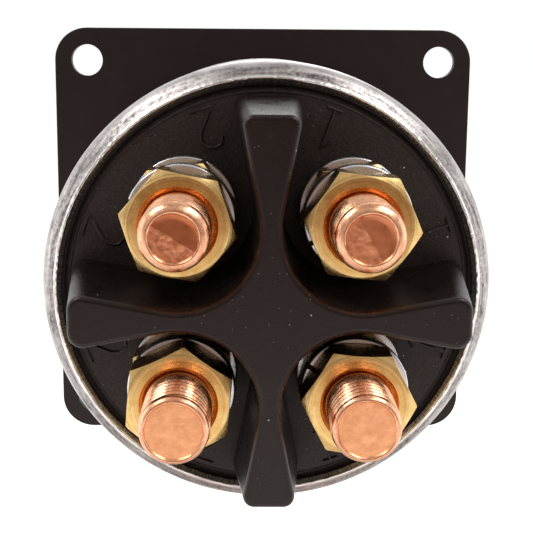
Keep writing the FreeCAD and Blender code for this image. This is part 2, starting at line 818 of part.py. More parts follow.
def springs():
    face = "can_wall + detent_plate_thick"
    for side, angle in SIDE_ANGLES.items():
        coil = coil_spring("contact_coil_" + side, "contact_spring_ring", "contact_spring_pitch",
                           "rotor_floor", "contact_back", *polar("contact_ring", angle))
        finish(group("contact_coil_only_" + side, [coil]), "contact_spring_" + side)
        x, y = polar("detent_ring", angle)
        centre = face + " + ball_gap + ball_radius"
        ball = sphere("ball_" + side, "ball_radius", x, y, centre)
        finish(group("ball_only_" + side, [ball]), "detent_ball_" + side)
        coil = coil_spring("detent_coil_" + side, "detent_spring_ring", "detent_spring_pitch",
                           centre + " + ball_radius", "ball_bore_end", x, y)
        finish(group("detent_coil_only_" + side, [coil]), "detent_spring_" + side)


# ---- lever -----------------------------------------------------------------------------------------

def lever_outline(sketch):
    """Round hub and round tip joined by two tangent sides; the lever points up."""
    hub = plain("lever_hub_radius")
    tip = plain("lever_tip_radius")
    reach = plain("lever_length")
    tilt = math.asin((hub - tip) / reach)
    side = Vector(math.cos(tilt), math.sin(tilt), 0)
    mirror = Vector(-math.cos(tilt), math.sin(tilt), 0)
    far = Vector(0, reach, 0)
    sketch.addGeometry(Part.LineSegment(side * hub, far + side * tip), False)
    sketch.addGeometry(Part.Arc(far + side * tip, Vector(0, reach + tip, 0), far + mirror * tip), False)
    sketch.addGeometry(Part.LineSegment(far + mirror * tip, mirror * hub), False)
    sketch.addGeometry(Part.Arc(mirror * hub, Vector(0, -hub, 0), side * hub), False)
    for edge, end, other, start in ((0, 2, 1, 1), (1, 2, 2, 1), (2, 2, 3, 1), (3, 2, 0, 1)):
        sketch.addConstraint(Sketcher.Constraint("Tangent", edge, end, other, start))
    sketch.addConstraint(Sketcher.Constraint("Coincident", 3, 3, -1, 1))
    sketch.addConstraint(Sketcher.Constraint("PointOnObject", 1, 3, -2))
    for kind, index, text in (("Radius", 3, "lever_hub_radius"), ("Radius", 1, "lever_tip_radius")):
        row = sketch.addConstraint(Sketcher.Constraint(kind, index, plain(text)))
        sketch.setExpression("Constraints[%d]" % row, linked(text))
    row = sketch.addConstraint(Sketcher.Constraint("DistanceY", -1, 1, 1, 3, reach))
    sketch.setExpression("Constraints[%d]" % row, "dims.lever_length")


def lever_handle():
    body = new_body("lever")
    sketch = new_sketch(body, "lever_sketch", "XY_Plane", "lever_back - lever_height")
    lever_outline(sketch)
    pad = body.newObject("PartDesign::Pad", "lever_pad")
    pad.Profile = sketch
    bind(pad, Length="lever_height")
    body.Tip = pad
    front = plain("lever_back - lever_height")
    outline = edges_at(pad, lambda edge: abs(edge.BoundBox.ZMax - front) < 0.01)
    rounded = body.newObject("PartDesign::Fillet", "lever_rounded")
    rounded.Base = (pad, outline)
    bind(rounded, Radius="lever_edge_round")
    body.Tip = rounded
    hub = cone("lever_hub", "lever_hub_radius - 3.2", "lever_hub_radius - 1.4",
               "lever_back - lever_hub_height", "lever_back - 1")
    drive = double_d("lever_drive", "lever_back - lever_hub_height - 1", "lever_back + 1")
    finish(cut("lever_bored", fuse("lever_solid", [body, hub]), drive), "lever_handle")


def handle_hardware():
    washer_back = "lever_back - lever_hub_height"
    washer_front = washer_back + " - spring_washer_thick"
    washer = ring("handle_washer_ring", "screw_radius + 0.2", "spring_washer_radius + 1",
                  washer_front, washer_back)
    finish(washer, "handle_washer")
    head_front = washer_front + " - screw_head_height"
    screw = turned("screw_turned", [
        ("0", head_front + " + screw_socket_depth"),
        ("screw_socket_radius", head_front + " + screw_socket_depth"),
        ("screw_socket_radius", head_front),
        ("screw_head_radius", head_front),
        ("screw_head_radius", washer_front),
        ("screw_radius", washer_front),
        ("screw_radius", "shaft_front + screw_length - screw_tip_gap"),
        ("0", "shaft_front + screw_length - screw_tip_gap"),
    ], rounds=[("screw_head_radius", head_front, "0.9")])
    finish(screw, "handle_screw")


def check_all():
    """Stop with a plain message if any object failed or any sub-part isn't a valid closed solid."""
    doc.recompute()
    broken = [item.Name for item in doc.Objects if {"Invalid", "Error"} & set(item.State)]
    if broken:
        raise RuntimeError("failed objects: " + ", ".join(broken))
    for item in sub_parts:
        shape = item.Shape
        if shape.isNull() or not shape.isValid() or not shape.Solids:
            raise RuntimeError("bad shape: " + item.Label)


def write_all():
    os.makedirs("parts", exist_ok=True)
    for item in sub_parts:
        item.Shape.exportStep("parts/%s.step" % item.Label)
        print("%-28s %9.1f mm3, %d solid(s)" % (item.Label, item.Shape.Volume, len(item.Shape.Solids)))


fill_sheet()
mounting_plate()
steel_can()
insulating_liner()
base_gasket()
terminal_base()
terminal_studs()
stud_seals()
base_washers()
stud_nuts("rear_nuts", "land_depth + washer_thick", REAR_NUT_TURN)
lock_washers("land_depth + washer_thick + nut_height")
stud_nuts("front_nuts", "land_depth + washer_thick + nut_height + lock_washer_thick", FRONT_NUT_TURN)
shaft_bushing()
bushing_hardware()
detent_plate()
stop_pin()
plate_rivets()
drive_shaft()
shaft_small_parts()
rotor_carrier()
moving_contacts()
springs()
lever_handle()
handle_hardware()
check_all()
write_all()
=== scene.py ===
"""Looks of the battery switch: metals, moulding, threads and folded rim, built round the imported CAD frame."""

import math

import bmesh
import bpy
from mathutils import Euler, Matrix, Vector, noise


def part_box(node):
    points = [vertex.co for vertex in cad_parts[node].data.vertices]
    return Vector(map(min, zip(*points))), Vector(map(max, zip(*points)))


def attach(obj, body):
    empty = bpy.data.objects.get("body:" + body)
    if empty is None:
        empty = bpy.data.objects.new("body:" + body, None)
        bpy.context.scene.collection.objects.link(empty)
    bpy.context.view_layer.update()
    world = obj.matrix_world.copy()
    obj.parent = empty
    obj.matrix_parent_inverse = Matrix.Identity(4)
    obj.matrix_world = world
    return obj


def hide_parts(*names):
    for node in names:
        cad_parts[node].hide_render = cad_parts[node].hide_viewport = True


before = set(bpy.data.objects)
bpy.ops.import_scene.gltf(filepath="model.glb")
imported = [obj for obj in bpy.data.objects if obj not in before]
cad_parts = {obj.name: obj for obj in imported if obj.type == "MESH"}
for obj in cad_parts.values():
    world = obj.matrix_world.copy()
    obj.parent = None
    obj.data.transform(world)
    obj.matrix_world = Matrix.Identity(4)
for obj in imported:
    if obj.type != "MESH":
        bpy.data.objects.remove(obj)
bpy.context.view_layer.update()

MM = 0.001

# ---- sizes read from the frame ---------------------------------------------------------------------
# Depth is measured along -Y from the plate's rear face, in millimetres, and grows towards the studs.

STUD_NAMES = ("upper_left", "upper_right", "lower_left", "lower_right")


def depth_range(node):
    """How far behind the plate's rear face a CAD node starts and ends."""
    low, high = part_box(node)
    return -high.y / MM, -low.y / MM


def centre_of(node):
    """Centre of a CAD node across the switch axis, as x and z in millimetres."""
    low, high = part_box(node)
    return (low.x + high.x) / 2 / MM, (low.z + high.z) / 2 / MM


STUD_CENTRES = {name: centre_of("terminal_stud_" + name) for name in STUD_NAMES}
STUD_OFFSET = STUD_CENTRES["upper_right"][0]
LAND_DEPTH = depth_range("base_washers")[0]
BARRIER_DEPTH = depth_range("terminal_base")[1]
CAN_RADIUS = (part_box("steel_can")[1].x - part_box("steel_can")[0].x) / 2 / MM
CAN_DEPTH = depth_range("steel_can")[1]

# ---- sizes that the materials read too, in millimetres -----------------------------------------------

FOLD_CORNER_DEPTH = CAN_DEPTH - 2.9   # where the can's side would meet the slope of its fold
SCALLOP_RADIUS = 14.6                 # of the barrier's hollow round each stud
STUD_RADIUS = 6.35
NUT_CHAMFER_RADIUS = 9.2
NUT_COUNTERSINK = 7.3

# ---- mesh helpers ----------------------------------------------------------------------------------


def in_frame(x, y, depth):
    """A point given across, up and behind the plate, in millimetres, as a point in the row frame."""
    return Vector((x, -depth, y)) * MM


def polar_point(radius, angle, depth):
    """A point given by its radius and angle about a piece's own axis, as a point in the row frame."""
    return in_frame(radius * math.cos(angle), radius * math.sin(angle), depth)


def new_piece(name, vertices, faces, material, place=(0, 0), sharp_degrees=32):
    """A mesh object whose origin stands at place, across the switch axis, in millimetres."""
    mesh = bpy.data.meshes.new(name)
    mesh.from_pydata(vertices, [], faces)
    for item in material if isinstance(material, (list, tuple)) else [material]:
        mesh.materials.append(item)
    mesh.update()
    fixer = bmesh.new()
    fixer.from_mesh(mesh)
    bmesh.ops.recalc_face_normals(fixer, faces=fixer.faces)
    fixer.to_mesh(mesh)
    fixer.free()
    mesh.shade_smooth()
    mesh.set_sharp_from_angle(angle=math.radians(sharp_degrees))
    piece = bpy.data.objects.new(name, mesh)
    piece.location = in_frame(place[0], place[1], 0)
    bpy.context.scene.collection.objects.link(piece)
    return piece


def ring_faces(rows, columns, closed_rows=True):
    """Quads joining rows of columns points; the rows close on themselves when closed_rows is true."""
    faces = []
    last = rows if closed_rows else rows - 1
    for row in range(last):
        below = row * columns
        above = ((row + 1) % rows) * columns
        for column in range(columns):
            following = (column + 1) % columns
            faces.append((below + column, below + following, above + following, above + column))
    return faces


def lathe(name, profile, material, place=(0, 0), columns=128, bend=None, sharp_degrees=32):
    """Turns a closed profile of (radius, depth) points; bend(radius, depth, angle, row) may move a point."""
    vertices = []
    for row, (radius, depth) in enumerate(profile):
        for column in range(columns):
            angle = 2 * math.pi * column / columns
            reach, level = bend(radius, depth, angle, row) if bend else (radius, depth)
            vertices.append(polar_point(reach, angle, level))
    return new_piece(name, vertices, ring_faces(len(profile), columns), material, place, sharp_degrees)


def arc_points(centre, radius, start, end, count):
    """Points on an arc in the (radius, depth) plane, angles in degrees from the radial direction."""
    points = []
    for index in range(count + 1):
        angle = math.radians(start + (end - start) * index / count)
        points.append((centre[0] + radius * math.cos(angle), centre[1] + radius * math.sin(angle)))
    return points


# ---- material helpers ------------------------------------------------------------------------------


class Material:
    """A node material built step by step round one Principled shader."""

    def __init__(self, name, colour, roughness, metallic=0.0):
        self.material = bpy.data.materials.new(name)
        self.material.use_nodes = True
        self.tree = self.material.node_tree
        self.shader = self.tree.nodes["Principled BSDF"]
        self.shader.inputs["Base Color"].default_value = (*colour, 1)
        self.shader.inputs["Roughness"].default_value = roughness
        self.shader.inputs["Metallic"].default_value = metallic
        self.place = self.node("ShaderNodeTexCoord").outputs["Object"]
        self.bump_out = None

    def node(self, kind, **settings):
        """A new node with its settings."""
        made = self.tree.nodes.new(kind)
        for key, value in settings.items():
            setattr(made, key, value)
        return made

    def link(self, out, into):
        self.tree.links.new(out, into)

    def axes(self):
        """The piece's own coordinates, in metres, as outputs named X, Y and Z."""
        split = self.node("ShaderNodeSeparateXYZ")
        self.link(self.place, split.inputs["Vector"])
        return split.outputs

    def scaled(self, scale):
        """Object coordinates stretched by a scale along each axis."""
        mapping = self.node("ShaderNodeMapping")
        mapping.inputs["Scale"].default_value = scale
        self.link(self.place, mapping.inputs["Vector"])
        return mapping.outputs["Vector"]

    def noise(self, size_mm, detail=3.0, roughness=0.5, stretch=(1, 1, 1)):
        """Noise whose features are about size_mm across."""
        made = self.node("ShaderNodeTexNoise")
        made.inputs["Scale"].default_value = 1.0 / (size_mm * MM)
        made.inputs["Detail"].default_value = detail
        made.inputs["Roughness"].default_value = roughness
        self.link(self.scaled(stretch), made.inputs["Vector"])
        return made.outputs["Fac"]

    def ramp(self, value, low, high, low_colour, high_colour):
        """Blend from low_colour to high_colour as value goes from low to high."""
        made = self.node("ShaderNodeValToRGB")
        elements = made.color_ramp.elements
        elements[0].position = low
        elements[1].position = high
        elements[0].color = (*low_colour, 1)
        elements[1].color = (*high_colour, 1)
        self.link(value, made.inputs["Fac"])
        return made.outputs["Color"]

    def grade(self, value, low, high, low_value, high_value):
        """Map a value in low..high to low_value..high_value, clamped."""
        made = self.node("ShaderNodeMapRange")
        made.inputs["From Min"].default_value = low
        made.inputs["From Max"].default_value = high
        made.inputs["To Min"].default_value = low_value
        made.inputs["To Max"].default_value = high_value
        self.link(value, made.inputs["Value"])
        return made.outputs["Result"]

    def maths(self, operation, first, second=None):
        """A Math node; first and second are outputs or numbers."""
        made = self.node("ShaderNodeMath", operation=operation)
        for socket, value in zip(made.inputs, (first, second)):
            if value is None:
                continue
            if isinstance(value, (int, float)):
                socket.default_value = value
            else:
                self.link(value, socket)
        return made.outputs["Value"]

    def average(self, first, second):
        return self.maths("MULTIPLY", self.maths("ADD", first, second), 0.5)

    def length(self, first, second):
        """Length of a flat vector, given its two parts."""
        squares = [self.maths("MULTIPLY", part, part) for part in (first, second)]
        return self.maths("SQRT", self.maths("ADD", *squares))

    def mix(self, factor, first, second):
        """Colour first where factor is nothing and second where it is one; each an output or a colour."""
        made = self.node("ShaderNodeMix", data_type="RGBA")
        self.link(factor, made.inputs["Factor"])
        sockets = [item for item in made.inputs if item.type == "RGBA"]
        for socket, value in zip(sockets, (first, second)):
            if isinstance(value, tuple):
                socket.default_value = (*value, 1)
            else:
                self.link(value, socket)
        return [item for item in made.outputs if item.type == "RGBA"][0]

    def radius(self):
        """Distance from the piece's own axis, in millimetres."""
        axes = self.axes()
        return self.maths("MULTIPLY", self.length(axes["X"], axes["Z"]), 1 / MM)

    def turn(self):
        """Angle about the piece's own axis, in radians."""
        axes = self.axes()
        return self.maths("ARCTAN2", axes["Z"], axes["X"])

    def depth(self):
        """Distance behind the plate's rear face, in millimetres."""
        return self.maths("MULTIPLY", self.axes()["Y"], -1 / MM)

    def polar_noise(self, radius_mm, along_mm, around_mm, detail=2.0):
        """Noise stretched along circles: features along_mm deep, and around_mm long at radius_mm."""
        joined = self.node("ShaderNodeCombineXYZ")
        self.link(self.maths("MULTIPLY", self.turn(), radius_mm / around_mm), joined.inputs["X"])
        self.link(self.maths("MULTIPLY", self.radius(), 1 / along_mm), joined.inputs["Y"])
        self.link(self.maths("MULTIPLY", self.depth(), 1 / along_mm), joined.inputs["Z"])
        made = self.node("ShaderNodeTexNoise")
        made.inputs["Scale"].default_value = 1.0
        made.inputs["Detail"].default_value = detail
        self.link(joined.outputs["Vector"], made.inputs["Vector"])
        return made.outputs["Fac"]

    def dust(self, spacing_mm, size, chance):
        """Round specks about spacing_mm apart, their size a share of that, kept where chance is one."""
        made = self.node("ShaderNodeTexVoronoi", feature="F1")
        made.inputs["Scale"].default_value = 1 / (spacing_mm * MM)
        self.link(self.place, made.inputs["Vector"])
        speck = self.grade(made.outputs["Distance"], size * 0.7, size, 1, 0)
        return self.maths("MULTIPLY", speck, chance)

    def scallop_edge(self):
        """One along the barrier's top edges beside the studs, fading to nothing elsewhere."""
        axes = self.axes()
        offsets = []
        for axis in "XZ":
            side = self.maths("MULTIPLY", self.maths("ABSOLUTE", axes[axis]), 1 / MM)
            offsets.append(self.maths("SUBTRACT", side, STUD_OFFSET))
        near = self.grade(self.length(*offsets), SCALLOP_RADIUS + 0.3, SCALLOP_RADIUS + 2.2, 1, 0)
        high = self.grade(self.depth(), BARRIER_DEPTH - 3.0, BARRIER_DEPTH - 0.6, 0, 1)
        flat = self.grade(self.depth(), BARRIER_DEPTH - 0.35, BARRIER_DEPTH - 0.02, 1, 0)
        patches = self.grade(self.noise(3, detail=3), 0.35, 0.6, 0.3, 1)
        beside = self.maths("MULTIPLY", near, patches)
        return self.maths("MULTIPLY", beside, self.maths("MULTIPLY", high, flat))

    def colour(self, out):
        self.link(out, self.shader.inputs["Base Color"])

    def roughness(self, out):
        self.link(out, self.shader.inputs["Roughness"])

    def bump(self, height, depth_mm, strength=1.0):
        """Add a bump whose height runs over depth_mm."""
        made = self.node("ShaderNodeBump")
        made.inputs["Strength"].default_value = strength
        made.inputs["Distance"].default_value = depth_mm * MM
        self.link(height, made.inputs["Height"])
        if self.bump_out:
            self.link(self.bump_out, made.inputs["Normal"])
        self.bump_out = made.outputs["Normal"]
        self.link(self.bump_out, self.shader.inputs["Normal"])


# ---- materials -------------------------------------------------------------------------------------


def black_coat():
    """Satin black paint on the plate, faintly uneven."""
    made = Material("satin_black_coat", (0.0075, 0.0042, 0.0038), 0.42)
    made.shader.inputs["Specular IOR Level"].default_value = 0.36
    made.shader.inputs["Specular Tint"].default_value = (1.0, 0.88, 0.85, 1)
    cloud = made.noise(9, detail=2)
    made.colour(made.ramp(cloud, 0.3, 0.7, (0.0062, 0.0034, 0.0031), (0.0090, 0.0054, 0.0049)))
    made.roughness(made.grade(made.noise(2.5, detail=4), 0.3, 0.7, 0.40, 0.50))
    made.bump(made.noise(0.35, detail=2), 0.016, 0.4)
    return made.material


def plated_steel():
    """Drawn steel: a smooth bright bend, then a scuffed darker band where the rollers folded the rim."""
    made = Material("bright_plated_steel", (0.62, 0.585, 0.57), 0.38, 1.0)
    mottle = made.noise(0.8, detail=6, roughness=0.7)
    streaks = made.polar_noise(CAN_RADIUS, 0.7, 9.0, detail=5)
    smooth = made.ramp(made.noise(2.2, detail=5, roughness=0.6), 0.35, 0.65,
                       (0.56, 0.525, 0.51), (0.66, 0.625, 0.61))
    scuffed = made.ramp(made.average(mottle, streaks), 0.38, 0.62,
                        (0.085, 0.072, 0.068), (0.52, 0.485, 0.47))
    wander = made.maths("ADD", made.depth(), made.grade(made.noise(5, detail=4), 0.3, 0.7, -0.9, 0.9))
    folded = made.grade(wander, FOLD_CORNER_DEPTH - 1.0, FOLD_CORNER_DEPTH + 1.5, 0, 1)
    made.colour(made.mix(folded, smooth, scuffed))
    made.roughness(made.maths("ADD", made.grade(folded, 0, 1, 0.36, 0.38),
                              made.grade(mottle, 0.3, 0.7, 0.06, -0.06)))
    made.bump(made.noise(0.45, detail=5), 0.025, 0.5)
    made.bump(streaks, 0.035, 0.45)
    return made.material


def burnished_steel():
    """The rubbed lip of the fold, bright in places and scratched in others."""
    made = Material("burnished_steel", (0.74, 0.70, 0.68), 0.2, 1.0)
    streaks = made.polar_noise(CAN_RADIUS, 0.3, 4.0, detail=5)
    made.colour(made.ramp(streaks, 0.34, 0.56, (0.40, 0.37, 0.355), (0.88, 0.86, 0.84)))
    made.roughness(made.grade(streaks, 0.3, 0.7, 0.30, 0.12))
    made.bump(streaks, 0.05, 0.6)
    return made.material


def cut_steel():
    """The sheared edge of the can, with fine marks straight across it."""
    made = Material("sheared_steel", (0.42, 0.40, 0.38), 0.35, 1.0)
    marks = made.polar_noise(CAN_RADIUS, 3.0, 0.26, detail=4)
    made.colour(made.ramp(marks, 0.38, 0.62, (0.13, 0.115, 0.105), (0.70, 0.66, 0.61)))
    made.roughness(made.grade(marks, 0.3, 0.7, 0.5, 0.28))
    made.bump(marks, 0.12, 0.9)
    return made.material


def moulded_black(name="black_moulding", tint=1.0, sandy_land=True):
    """Black thermoset moulding: fine grain, a slight sheen, a little dust, and brownish edges beside the studs,
    partly wear and partly a painted reflection of the copper.
    """

    def tinted(*colour):
        return tuple(part * tint for part in colour)

    made = Material(name, tinted(0.0050, 0.0024, 0.0020), 0.38)
    made.shader.inputs["Specular IOR Level"].default_value = 0.39
    made.shader.inputs["Specular Tint"].default_value = (1.0, 0.87, 0.84, 1)
    grain = made.noise(0.34, detail=5, roughness=0.7)
    patch = made.noise(5, detail=3)
    # The land round the studs is sandier than the barrier, which stands further back than land_end.
    land_end = LAND_DEPTH + 1.5 if sandy_land else 0.0
    land = made.grade(made.depth(), land_end - 1.0, land_end, 1, 0)
    body = made.ramp(grain, 0.35, 0.7, tinted(0.0032, 0.0015, 0.0013), tinted(0.0080, 0.0042, 0.0036))
    sandy = made.ramp(grain, 0.40, 0.66, tinted(0.0040, 0.0022, 0.0018), tinted(0.030, 0.023, 0.021))
    # Brownish tint on the barrier's top edges beside the studs: partly wear, partly a painted reflection of the
    # copper studs.
    worn_edge_and_copper_reflection = made.mix(made.scallop_edge(), made.mix(land, body, sandy), (0.030, 0.0095, 0.0045))
    fine = made.dust(1.25, 0.10, made.grade(made.noise(6, detail=2), 0.48, 0.58, 0, 1))
    coarse = made.dust(3.1, 0.055, made.grade(made.noise(3.2, detail=1), 0.52, 0.58, 0, 1))
    dusty = made.mix(fine, worn_edge_and_copper_reflection, (0.16, 0.145, 0.135))
    made.colour(made.mix(coarse, dusty, (0.50, 0.46, 0.43)))
    grain_rough = made.grade(grain, 0.3, 0.7, 0.24, 0.36)
    patch_rough = made.grade(patch, 0.3, 0.7, -0.04, 0.06)
    land_rough = made.grade(land, 0, 1, 0, 0.20)
    made.roughness(made.maths("ADD", made.maths("ADD", grain_rough, patch_rough), land_rough))
    made.bump(made.maths("MULTIPLY", grain, made.grade(land, 0, 1, 0.45, 1.0)), 0.11, 0.8)
    made.bump(patch, 0.05, 0.25)
    return made.material


def brass():
    """Machined brass: turning rings on the faces, duller and more orange towards the hole, partly wear and
    partly a painted reflection of the copper stud, and fine scratches.
    """
    made = Material("machined_brass", (0.76, 0.50, 0.19), 0.24, 1.0)
    stain = made.noise(3.5, detail=5, roughness=0.65)
    rings = made.polar_noise(9, 0.20, 40, detail=4)
    metal = made.ramp(made.average(stain, rings), 0.38, 0.60, (0.56, 0.335, 0.11), (0.87, 0.62, 0.27))
    # Duller, more orange colour towards the hole: partly wear, partly a painted reflection of the copper stud.
    near_hole = made.grade(made.radius(), NUT_COUNTERSINK, NUT_CHAMFER_RADIUS, 0.6, 0)
    made.colour(made.mix(near_hole, metal, (0.70, 0.38, 0.10)))
    made.roughness(made.grade(made.noise(1.0, detail=5), 0.3, 0.7, 0.18, 0.30))
    made.bump(rings, 0.030, 0.7)
    made.bump(made.noise(0.6, detail=5), 0.016, 0.35)
    return made.material


def copper():
    """Rolled copper thread, pinkish, with soft smears along the thread."""
    made = Material("rolled_copper", (0.90, 0.44, 0.25), 0.24, 1.0)
    smear = made.polar_noise(6, 0.5, 5, detail=4)
    spot = made.noise(0.7, detail=5, roughness=0.7)
    made.colour(made.ramp(made.average(smear, spot), 0.36, 0.62, (0.66, 0.265, 0.13), (0.90, 0.53, 0.335)))
    made.roughness(made.grade(made.noise(0.9, detail=5), 0.3, 0.7, 0.16, 0.32))
    made.bump(made.noise(0.5, detail=5, roughness=0.65), 0.035, 0.45)
    return made.material


def copper_tip(name, dull, clean, crease=None):
    """Cropped end of a stud: mottled, and rougher on one side of its crease, whose angle is in degrees."""
    made = Material(name, clean, 0.3, 1.0)
    blotch = made.noise(1.7, detail=6, roughness=0.65)
    mottled = made.ramp(blotch, 0.38, 0.62, dull, clean)
    height = made.noise(0.7, detail=5, roughness=0.65)
    if crease is None:
        made.colour(mottled)
    else:
        axes = made.axes()
        angle = math.radians(crease)
        beyond = made.maths("SUBTRACT", made.maths("MULTIPLY", axes["Z"], math.cos(angle) / MM),
                            made.maths("MULTIPLY", axes["X"], math.sin(angle) / MM))
        rough_side = made.grade(beyond, -0.1, 0.15, 0, 1)
        made.colour(made.mix(rough_side, dull, mottled))
        height = made.maths("MULTIPLY", height, made.grade(rough_side, 0, 1, 0.15, 1.6))
    made.roughness(made.grade(made.noise(0.8, detail=5), 0.3, 0.7, 0.26, 0.38))
    made.bump(height, 0.05, 0.6)
    return made.material


def bright_zinc(name="bright_zinc", roughness=0.24):
    """Bright zinc plating with faint rings."""
    made = Material(name, (0.66, 0.67, 0.69), roughness, 1.0)
    marks = made.noise(1.4, detail=4)
    made.roughness(made.grade(marks, 0.3, 0.7, roughness - 0.06, roughness + 0.12))
    made.bump(made.polar_noise(10, 0.3, 8), 0.014, 0.4)
    return made.material


def dark_rubber():
    """Matt black rubber."""
    made = Material("black_rubber", (0.012, 0.012, 0.013), 0.75)
    made.bump(made.noise(0.4, detail=3), 0.02, 0.4)
    return made.material


def liner_card():
    """Brown fibre, grained along the switch axis."""
    made = Material("fibre_liner", (0.16, 0.085, 0.04), 0.8)
    made.colour(made.ramp(made.noise(1.5, detail=4), 0.3, 0.7, (0.12, 0.06, 0.03), (0.2, 0.11, 0.055)))
    made.bump(made.noise(0.3, detail=3, stretch=(1, 0.1, 1)), 0.02, 0.5)
    return made.material


def lever_paint():
    """Glossy red enamel over a casting, with a slight orange peel."""
    made = Material("red_enamel", (0.42, 0.012, 0.010), 0.28)
    made.shader.inputs["Coat Weight"].default_value = 0.4
    made.shader.inputs["Coat Roughness"].default_value = 0.12
    made.colour(made.ramp(made.noise(6, detail=3), 0.3, 0.7, (0.36, 0.009, 0.008), (0.47, 0.016, 0.013)))
    made.roughness(made.grade(made.noise(2, detail=4), 0.3, 0.7, 0.24, 0.36))
    made.bump(made.noise(0.8, detail=2), 0.02, 0.3)
    return made.material


def white_print():
    """Off-white printing ink."""
    made = Material("printed_mark", (0.72, 0.71, 0.68), 0.5)
    made.bump(made.noise(0.3, detail=2), 0.01, 0.3)
    return made.material


PALETTE = {
    "black_coat": black_coat(),
    "plated_steel": plated_steel(),
    "burnished": burnished_steel(),
    "cut": cut_steel(),
    "moulding": moulded_black(),
    "rotor": moulded_black("rotor_moulding", 1.6, sandy_land=False),
    "mark": moulded_black("raised_marks", 1.3, sandy_land=False),
    "brass": brass(),
    "copper": copper(),
    "clean_tip": copper_tip("pressed_copper_end", (0.74, 0.33, 0.155), (0.87, 0.415, 0.215)),
    "upper_left_tip": copper_tip("cropped_end_upper_left", (0.47, 0.155, 0.068), (0.80, 0.35, 0.19), 149),
    "upper_right_tip": copper_tip("cropped_end_upper_right", (0.56, 0.20, 0.095), (0.76, 0.33, 0.175), 120),
    "zinc": bright_zinc(),
    "spring": bright_zinc("spring_steel", 0.26),
    "rubber": dark_rubber(),
    "liner": liner_card(),
    "lever": lever_paint(),
    "print": white_print(),
}

# ---- CAD nodes that stay -----------------------------------------------------------------------------

NODE_LOOKS = {
    "mounting_plate": "black_coat",
    "steel_can": "plated_steel",
    "insulating_liner": "liner",
    "base_gasket": "rubber",
    "stud_seals": "rubber",
    "shaft_seal": "rubber",
    "terminal_base": "moulding",
    "rotor_carrier": "rotor",
    "moving_contact_left": "copper",
    "moving_contact_right": "copper",
    "shaft_bushing": "brass",
    "bushing_nut": "brass",
    "rear_nuts": "brass",
    "front_nuts": "brass",
    "lever_handle": "lever",
}


def dress_cad_nodes():
    """Gives every CAD node its material; small steel parts that NODE_LOOKS leaves out are zinc plated."""
    for name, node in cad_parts.items():
        look = NODE_LOOKS.get(name, "zinc")
        if name.startswith("terminal_stud"):
            look = "copper"
        if "spring" in name:
            look = "spring"
        node.data.materials.clear()
        node.data.materials.append(PALETTE[look])


# ---- threaded studs ----------------------------------------------------------------------------------

THREAD_PITCH = 1.5
THREAD_DEPTH = 0.35 * THREAD_PITCH
CREST_SHARE = 0.14        # share of a flank that the soft crest takes
THREAD_FADE = 0.5         # length over which the thread dies out at the stud's end
SHOULDER_RADIUS = 6.2     # where the thread meets the bevel
SHOULDER_RUN = 0.8        # length over which the crests grow from there to their full radius
STUD_HEAD_RADIUS = 8.5
STUD_HEAD_THICK = 5.0
STUD_COLUMNS = 120
STUD_TURNS = [2 * math.pi * column / STUD_COLUMNS for column in range(STUD_COLUMNS)]
STEPS_PER_PITCH = 20

# The end of a rolled stud is a shallow cup: a rounded rim, a steep inner wall and a rough floor.
CUP_LIP = 0.18
CUP_WALL = 0.28
CUP_DEPTH = 0.42
CUP_RINGS = 16
CREASE_FALL = 0.045       # slope of the floor on the smooth side of its crease

# Rim radius and bevel height of each stud's end, how rough its floor is, and the angle of the crease
# that the cropping tool left across it, where there is one.
TIP_STYLES = {
    "upper_left": (4.65, 1.70, 1.6, 149),
    "upper_right": (4.70, 1.65, 0.8, 120),
    "lower_left": (5.45, 1.05, 0.4, None),
    "lower_right": (5.45, 1.05, 0.4, None),
}


def thread_radius(turn_share, depth):
    """Radius of a right-hand rolled thread: even flanks between soft crests and narrow roots."""
    phase = (depth / THREAD_PITCH - turn_share) % 1.0
    crest = abs(2 * phase - 1)
    soft = crest - max(0, crest - 1 + CREST_SHARE) ** 2 / (2 * CREST_SHARE)
    return STUD_RADIUS - THREAD_DEPTH * (1 - CREST_SHARE / 2 - soft)


def stud_section_radius(angle_share, depth, end, rim, bevel):
    """Radius of the threaded length, fading to a smooth rounded bevel at the end."""
    from_end = end - depth
    if from_end >= bevel:
        limit = SHOULDER_RADIUS + (STUD_RADIUS - SHOULDER_RADIUS) * min(1, (from_end - bevel) / SHOULDER_RUN)
    else:
        limit = rim + (SHOULDER_RADIUS - rim) * math.sin(from_end / bevel * math.pi / 2) ** 0.75
    fade = min(1, max(0, (from_end - bevel * 0.7) / THREAD_FADE))
    threaded = STUD_RADIUS - (STUD_RADIUS - thread_radius(angle_share, depth)) * fade
    return min(threaded, limit)


def cup_wobble(name, angle):
    """How far the cup of a stud's end strays from a circle at one angle, in millimetres."""
    around = Vector((math.cos(angle), math.sin(angle), len(name)))
    return noise.noise(around * 1.6) * 0.16 + noise.noise(around * 5.0) * 0.05


def floor_height(name, spot, rough, crease):
    """How far one point of a stud's end stands above the cup's mean floor, in millimetres."""
    height = noise.noise(spot * 0.55 + Vector((len(name), 3.1, 0))) * 0.03
    if crease is None:
        return height + noise.noise(spot * 1.5) * 0.02 * rough
    turn = math.radians(crease)
    beyond = spot.y * math.cos(turn) - spot.x * math.sin(turn)
    if beyond <= 0:
        return height + CREASE_FALL * beyond
    height += noise.noise(spot * 1.1 + Vector((2, 1, 0))) * 0.030 * rough
    return height + noise.noise(spot * 3.1) * 0.010 * rough


